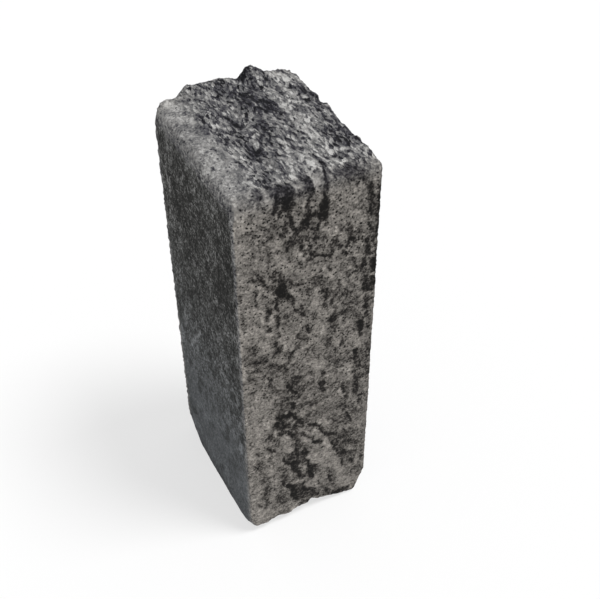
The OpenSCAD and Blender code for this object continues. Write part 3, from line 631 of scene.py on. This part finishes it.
def paint_fields(mesh):
    """Stores where the finishes and the painted light lie, as soft fields that the material breaks
    up.

    The back has the front's marbling upside down, and the right side the left side's mirrored."""
    x, y, z, normal = surface(mesh)
    from_end = np.minimum(y, DEPTH - y)
    front = stroke_field(x, z, FRONT_STROKES) * ramp(y, 14, 6)
    back = stroke_field(x, TOP_LEVEL - z, FRONT_STROKES) * ramp(y, DEPTH - 14, DEPTH - 6)
    top = stroke_field(x, y, TOP_STROKES) * ramp(z, 384, 392)
    left = stroke_field(y, z, LEFT_STROKES, 0.4) * ramp(x, 8, 2)
    right = stroke_field(DEPTH - y, z, LEFT_STROKES, 0.4) * ramp(WIDTH - x, 8, 2)
    split = ramp(normal[:, 2], 0.1, 0.6) * ramp(z, 375, 390)
    side = ramp(np.abs(normal[:, 0]), 0.45, 0.85)
    skin = side * ramp(z, 404, 372) * ramp(from_end, -2, 11)
    # The top's marbling shows where that of the front and back has run out.
    over = (front + back) * (1 - skin)
    marbling = np.where(np.abs(over) > 0.02, over, top) * (1 - skin) + 0.75 * (left + right) * skin
    rim = ramp(x, 36, 12) * ramp(z, 370, 392)       # the worn left edge, where the pale mix shows
    base = 0.455 - 0.11 * ramp(x, 24, 12) * (1 - skin) - 0.02 * split - 0.07 * rim * (1 - skin)
    # The sides' skin is darker above and lighter towards the foot: partly its own charcoal film,
    # partly painted bounce light from the floor.
    film_and_bounce = skin * (0.365 * ramp(z, 80, 280) - 0.1)
    grains = (1 - 0.1 * split) * (1 - 0.12 * rim)
    skin_grains = 1.5 - 0.3 * ramp(z, 320, 220) - 0.75 * ramp(z, 220, 60)
    pores = (0.4 + 0.6 * ramp(z, 80, 260)) * (1 - 0.35 * rim)
    store(
        mesh,
        # charcoal also carries the painted bounce light on the sides, through the skin's darkening
        # term
        charcoal=base + (0.58 - 0.06 * split) * marbling + film_and_bounce,    # how dark the mix is
        coarse=grains * (1 - skin) + skin_grains * skin,            # how far it is broken up
        # the front and back take the warmer tones: painted warm light
        warm=ramp(from_end, 20, 4) * ramp(z, 410, 380) * (1 - side),
        pored=pores * (1 - 0.75 * split * ramp(x, 12, 30)),
        skin=skin,
        # a cool tint on the sides, strongest at the foot: painted bounce light
        cool=skin * ramp(z, 330, 60),
        split=split * ramp(x, 12, 30) * ramp(y, 2, 12))


def linear(code):
    """A colour from its sRGB hex code, as linear RGBA."""
    channels = [int(code[i:i + 2], 16) / 255 for i in (1, 3, 5)]
    return (*(c / 12.92 if c <= 0.04045 else ((c + 0.055) / 1.055) ** 2.4 for c in channels), 1)


def per(size):
    """A pattern's scale from the real size of one grain in millimetres."""
    return 1 / (size * MM)


def add(tree, kind, inputs=None, output=None, stops=(), **settings):
    """Adds a node with its settings, its colour stops and its links, and gives the socket that
    it feeds others with."""
    node = tree.nodes.new(kind)
    for key, value in settings.items():
        setattr(node, key, value)
    while stops and len(node.color_ramp.elements) < len(stops):
        node.color_ramp.elements.new(0.5)
    for number, (place, code) in enumerate(stops):
        node.color_ramp.elements[number].position = place
        node.color_ramp.elements[number].color = linear(code)
    for key, value in (inputs or {}).items():
        socket = node.inputs[key] if isinstance(key, int) else next(
            each for each in node.inputs if each.name == key and each.enabled)
        if isinstance(value, bpy.types.NodeSocket):
            tree.links.new(value, socket)
        else:
            socket.default_value = value
    if output:
        return node.outputs[output]
    return next((each for each in node.outputs if each.enabled), None)


def broken_up(tree, tones, place, roughness, layers):
    """A value about 0 that breaks a finish up.

    It is made of tones with their weights and of clouds, each with a size in millimetres, a
    detail and a weight. Half of all the weights is taken off, so it darkens nothing on average."""
    total = sum(weight for tone, weight in tones) + sum(weight for size, detail, weight in layers)
    value = -total / 2
    for tone, weight in tones:
        value = add(tree, "ShaderNodeMath", {0: tone, 1: weight, 2: value},
                    operation="MULTIPLY_ADD")
    for size, detail, weight in layers:
        cloud = add(tree, "ShaderNodeTexNoise", {
            "Vector": place, "Scale": per(size), "Detail": detail, "Roughness": roughness})
        value = add(tree, "ShaderNodeMath", {0: cloud, 1: weight, 2: value},
                    operation="MULTIPLY_ADD")
    return value


def marbled_concrete(props):
    """Vibrated precast concrete, two mixes in one mould: sandy and matt, never one grey."""
    material = bpy.data.materials.new("marbled concrete")
    material.use_nodes = True
    tree = material.node_tree
    shader = tree.nodes["Principled BSDF"]
    shader.inputs["Roughness"].default_value = 0.9
    shader.inputs["IOR"].default_value = 1.45
    shader.inputs["Specular IOR Level"].default_value = 0.15    # the loose sand dulls its shine
    place = add(tree, "ShaderNodeTexCoord", output="Object")
    fields = {name: add(tree, "ShaderNodeAttribute", attribute_name=name, output="Fac")
              for name in ("charcoal", "coarse", "warm", "pored", "skin", "cool", "split")}
    coarse, split = fields["coarse"], fields["split"]

    # The split face tears from front to back, so its shards are longer that way.
    tear = Vector((-0.08, 1, 0)).to_track_quat("Z", "Y").to_euler()
    torn = add(tree, "ShaderNodeMapping", {
        "Vector": place, "Rotation": tear, "Scale": (1, 1, 2.4)}, vector_type="TEXTURE")

    # Sand grains and shards, each with a tone of its own; their outline is roughened.
    jitter = add(tree, "ShaderNodeTexNoise", {
        "Vector": place, "Scale": per(1.2), "Detail": 1.0}, "Color")
    jitter = add(tree, "ShaderNodeVectorMath", {0: jitter, "Scale": 1.2 * MM}, operation="SCALE")
    rough_place, rough_torn = (
        add(tree, "ShaderNodeVectorMath", {0: where, 1: jitter}, operation="ADD")
        for where in (place, torn))
    grain_cell, shard_cell = (
        add(tree, "ShaderNodeTexVoronoi", {"Vector": where, "Scale": per(size)}, "Color")
        for where, size in ((rough_place, 1.5), (rough_torn, 1.9)))
    grain, shard = (add(tree, "ShaderNodeSeparateColor", {0: cell})
                    for cell in (grain_cell, shard_cell))
    shard_height = add(tree, "ShaderNodeMath", {
        0: shard_cell.node.outputs["Distance"], 1: split}, operation="MULTIPLY")

    # How dark the mix is: the laid marbling, broken up from 14 mm clouds down to single grains.
    cast = broken_up(tree, ((grain, 0.35),), place, 0.6,
                     ((14, 3, 0.2), (4, 3, 1.3), (1.8, 2, 1.1)))
    torn_open = broken_up(tree, ((shard, 1.0),), torn, 0.6,
                          ((14, 3, 0.2), (2.4, 3, 0.8), (0.9, 2, 1.2)))
    break_up = add(tree, "ShaderNodeMix", {"Factor": split, "A": cast, "B": torn_open})
    mix = add(tree, "ShaderNodeMath", {0: break_up, 1: coarse, 2: fields["charcoal"]},
              operation="MULTIPLY_ADD")

    # Pores in loose clusters: balls cut at any height, so the dots that they leave differ in size.
    # The mix keeps 0.8 of its range and is lifted by 0.18, so that the pores can be darker.
    pore = add(tree, "ShaderNodeTexVoronoi", {
        "Vector": rough_place, "Scale": per(3.4)}, "Distance")
    pore = add(tree, "ShaderNodeMapRange", {
        "Value": pore, "From Min": 0.32, "From Max": 0.19, "To Max": 0.5})
    cluster = add(tree, "ShaderNodeTexNoise", {"Vector": place, "Scale": per(9), "Detail": 2.0})
    cluster = add(tree, "ShaderNodeMapRange", {
        "Value": cluster, "From Min": 0.4, "From Max": 0.65, "To Min": 0.2, "To Max": 1.6})
    pored = add(tree, "ShaderNodeMath", {0: fields["pored"], 1: cluster}, operation="MULTIPLY")
    pore = add(tree, "ShaderNodeMath", {0: pore, 1: pored, 2: 0.18}, operation="MULTIPLY_ADD")
    mix = add(tree, "ShaderNodeMath", {0: mix, 1: 0.8, 2: pore}, operation="MULTIPLY_ADD")

    # The front and back take warmer tones than the split top: painted warm light on them.
    front, top = (
        add(tree, "ShaderNodeValToRGB", {"Fac": mix},
            stops=list(zip((0, 0.2, 0.4, 0.6, 0.8, 1), codes.split())))
        for codes in (props.front_tones, props.split_tones))
    colour = add(tree, "ShaderNodeMix", {"Factor": fields["warm"], "A": top, "B": front},
                 data_type="RGBA")

    # Moulded skin of the two sides: a film of charcoal slurry, streaked downwards and mottled.
    # It darkens upwards, partly as its own film and partly as painted bounce light from the floor,
    # and its cool tint towards the foot is painted bounce light too.
    upright = add(tree, "ShaderNodeMapping", {
        "Vector": place, "Rotation": (radians(12), 0, 0), "Scale": (1, 1, 1.4)},
        vector_type="TEXTURE")
    fine = add(tree, "ShaderNodeTexNoise", {"Vector": place, "Scale": per(1.3), "Detail": 2.0})
    mottle = broken_up(tree, ((grain, 0.5), (fine, 1.15)), upright, 0.65,
                       ((24, 2, 0.6), (7, 3, 1.1), (2.6, 3, 1.3)))
    # How dark the skin is, with the painted bounce light that lightens it towards the foot.
    film_and_bounce = add(tree, "ShaderNodeMath", {0: mottle, 1: coarse, 2: fields["charcoal"]},
               operation="MULTIPLY_ADD")
    side = add(tree, "ShaderNodeValToRGB", {"Fac": film_and_bounce},
               stops=list(zip((0, 0.3, 0.6, 1), props.skin_tones.split())))
    # The cool tint towards the foot is painted bounce light.
    side = add(tree, "ShaderNodeMix", {
        "Factor": fields["cool"], "A": side, "B": linear(props.foot_tint)},
        data_type="RGBA", blend_type="MULTIPLY")
    ragged = add(tree, "ShaderNodeTexNoise", {
        "Vector": place, "Scale": per(16), "Detail": 5.0, "Roughness": 0.75})
    skin = add(tree, "ShaderNodeMath", {0: fields["skin"], 1: ragged}, operation="ADD")
    skin = add(tree, "ShaderNodeMapRange", {"Value": skin, "From Min": 0.83, "From Max": 1.17},
               interpolation_type="SMOOTHSTEP")
    colour = add(tree, "ShaderNodeMix", {"Factor": skin, "A": colour, "B": side},
                 data_type="RGBA")
    tree.links.new(colour, shader.inputs["Base Color"])

    # Relief finer than the mesh: sand grains and the pits between them.
    height = add(tree, "ShaderNodeMath", {0: grain, 1: 0.6, 2: fine}, operation="MULTIPLY_ADD")
    height = add(tree, "ShaderNodeMath", {0: shard_height, 1: 2.5, 2: height},
                 operation="MULTIPLY_ADD")
    bump = add(tree, "ShaderNodeBump", {"Height": height, "Strength": 0.6, "Distance": 0.5 * MM})
    tree.links.new(bump, shader.inputs["Normal"])
    return material


def seen_directly(tree):
    """1 for what the camera sees, straight, mirrored or through glass, and 0 for other light."""
    path = add(tree, "ShaderNodeLightPath").node.outputs
    seen = path["Is Camera Ray"]
    for ray in ("Is Glossy Ray", "Is Transmission Ray"):
        seen = add(tree, "ShaderNodeMath", {0: seen, 1: path[ray]}, operation="MAXIMUM")
    return seen


def white_paper(props):
    """Matt studio paper that looks nearly white, so that the block's shadow on it stays light."""
    material = bpy.data.materials.new("white paper")
    material.use_nodes = True
    tree = material.node_tree
    tree.nodes.clear()
    paper = add(tree, "ShaderNodeBsdfDiffuse", {"Color": linear(props.paper)})
    white = add(tree, "ShaderNodeEmission", {"Strength": 1.0})
    share = add(tree, "ShaderNodeMath", {0: seen_directly(tree), 1: props.whiteness},
                operation="MULTIPLY")
    surface_mix = add(tree, "ShaderNodeMixShader", {0: share, 1: paper, 2: white})
    add(tree, "ShaderNodeOutputMaterial", {"Surface": surface_mix})
    return material


LENGTH = {"unit": "LENGTH", "min": 0, "precision": 5}


class BlockSettings(bpy.types.PropertyGroup):
    grain: bpy.props.FloatProperty(
        name="Mesh grain", description="Width of the mesh's faces on the front and the top",
        default=1.15 * MM, **LENGTH)
    shards: bpy.props.FloatProperty(
        name="Shards", description="Height of the single shards of the split top",
        default=1.4 * MM, **LENGTH)
    grains: bpy.props.FloatProperty(
        name="Grains", description="Height of the grains between the shards",
        default=2 * MM, **LENGTH)
    wear: bpy.props.FloatProperty(
        name="Worn edges", description="Height of the grain along the worn edges",
        default=2.6 * MM, **LENGTH)
    chips: bpy.props.FloatProperty(
        name="Broken foot", description="Height of the grain in the foot's chips",
        default=2 * MM, **LENGTH)
    waves: bpy.props.FloatProperty(
        name="Uneven sides", description="Depth of the wide hollows in the moulded sides",
        default=0.5 * MM, **LENGTH)
    sand: bpy.props.FloatProperty(
        name="Sandy sides", description="Depth of the pits between the grains of the sides",
        default=0.35 * MM, **LENGTH)
    crack: bpy.props.FloatProperty(
        name="Crack", description="Depth of the crack in the split top",
        default=2.2 * MM, **LENGTH)
    # The front and back tones are warmer than the split top's: painted warm light.
    front_tones: bpy.props.StringProperty(
        name="Front and back", description="Six sRGB hex codes, from pale sand to charcoal",
        default="#b5b0a9 #97928c #7f7b76 #605d59 #363331 #151413")
    split_tones: bpy.props.StringProperty(
        name="Split top", description="Six sRGB hex codes, from pale sand to charcoal",
        default="#bab9b7 #9c9b99 #7c7b7a #5b5b5c #38373d #151518")
    skin_tones: bpy.props.StringProperty(
        name="Moulded skin", description="Four sRGB hex codes, from pale flecks to charcoal",
        default="#8e8e8d #646463 #434341 #1d1d1c")
    # The foot tint colours the painted cool bounce light on the sides.
    foot_tint: bpy.props.StringProperty(
        name="Foot tint", description="sRGB hex code that tints the sides near the foot",
        default="#eef4fc")


class StageSettings(bpy.types.PropertyGroup):
    sky: bpy.props.FloatProperty(
        name="Sky", description="Strength of the even light", default=0.5, min=0)
    paper: bpy.props.StringProperty(
        name="Paper", description="sRGB hex code of the floor", default="#e7e7e7")
    whiteness: bpy.props.FloatProperty(
        name="Whiteness", description="How white the floor looks in the shadow",
        default=0.65, min=0, max=1, subtype="FACTOR")
    sun: bpy.props.FloatProperty(
        name="Sun", description="Strength of the soft sun", default=2.7, min=0)
    lens: bpy.props.FloatProperty(
        name="Lens", description="Focal length", default=57.91, subtype="DISTANCE_CAMERA")


class PALISADE_OT_block(bpy.types.Operator):
    """Build the cast block: worn edges, split top and marbled concrete"""
    bl_idname = "palisade.block"
    bl_label = "Cast block"

    def execute(self, context):
        props = context.scene.palisade_block
        piece = block_mesh(props.grain)
        shape_surface(piece, props)
        paint_fields(piece.data)
        piece.data.materials.clear()
        piece.data.materials.append(marbled_concrete(props))
        piece.data.shade_smooth()
        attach(piece, "root")
        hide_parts(BLOCK)
        return {"FINISHED"}


class PALISADE_OT_stage(bpy.types.Operator):
    """Set the pale floor, the soft light and the camera"""
    bl_idname = "palisade.stage"
    bl_label = "Stage"

    def execute(self, context):
        scene, props = context.scene, context.scene.palisade_stage
        bpy.ops.mesh.primitive_plane_add(size=FLOOR_SIZE)
        floor = context.object
        floor.name = "floor"
        floor.data.materials.append(white_paper(props))
        world = bpy.data.worlds.new("studio")
        world.use_nodes = True
        background = world.node_tree.nodes["Background"]
        background.inputs["Color"].default_value = (1, 1, 1, 1)
        strength = add(world.node_tree, "ShaderNodeMix", {
            "Factor": seen_directly(world.node_tree), "A": props.sky, "B": 1.0})
        world.node_tree.links.new(strength, background.inputs["Strength"])
        scene.world = world
        sun = bpy.data.lights.new("sun", "SUN")
        sun.energy = props.sun
        sun.angle = radians(SUN_SPREAD)
        lamp = bpy.data.objects.new("sun", sun)
        lamp.rotation_euler = Vector(SUN_SIDE).to_track_quat("Z", "Y").to_euler()
        scene.collection.objects.link(lamp)
        camera = bpy.data.cameras.new("camera")
        camera.lens = props.lens
        eye = bpy.data.objects.new("camera", camera)
        aim = Euler((radians(90 - LOOK_DOWN), 0, radians(-LOOK_RIGHT))).to_matrix()
        turn = aim @ Matrix.Rotation(radians(-ROLL), 3, "Z")
        eye.matrix_world = Matrix.Translation(EYE) @ turn.to_4x4()
        scene.collection.objects.link(eye)
        scene.camera = eye
        scene.view_settings.view_transform = "Standard"
        return {"FINISHED"}


class PALISADE_PT_sidebar(bpy.types.Panel):
    """Lists the operators in the order that they run in"""
    bl_label = "Concrete palisade"
    bl_space_type = "VIEW_3D"
    bl_region_type = "UI"
    bl_category = "Palisade"

    def draw(self, context):
        for operator in OPERATORS:
            self.layout.operator(operator.bl_idname)


OPERATORS = (PALISADE_OT_block, PALISADE_OT_stage)
CLASSES = (BlockSettings, StageSettings, *OPERATORS, PALISADE_PT_sidebar)


def register():
    for cls in CLASSES:
        bpy.utils.register_class(cls)
    bpy.types.Scene.palisade_block = bpy.props.PointerProperty(type=BlockSettings)
    bpy.types.Scene.palisade_stage = bpy.props.PointerProperty(type=StageSettings)


def unregister():
    del bpy.types.Scene.palisade_stage
    del bpy.types.Scene.palisade_block
    for cls in reversed(CLASSES):
        bpy.utils.unregister_class(cls)


def main():
    register()
    bpy.ops.palisade.block()
    bpy.ops.palisade.stage()


if __name__ == "__main__":
    main()
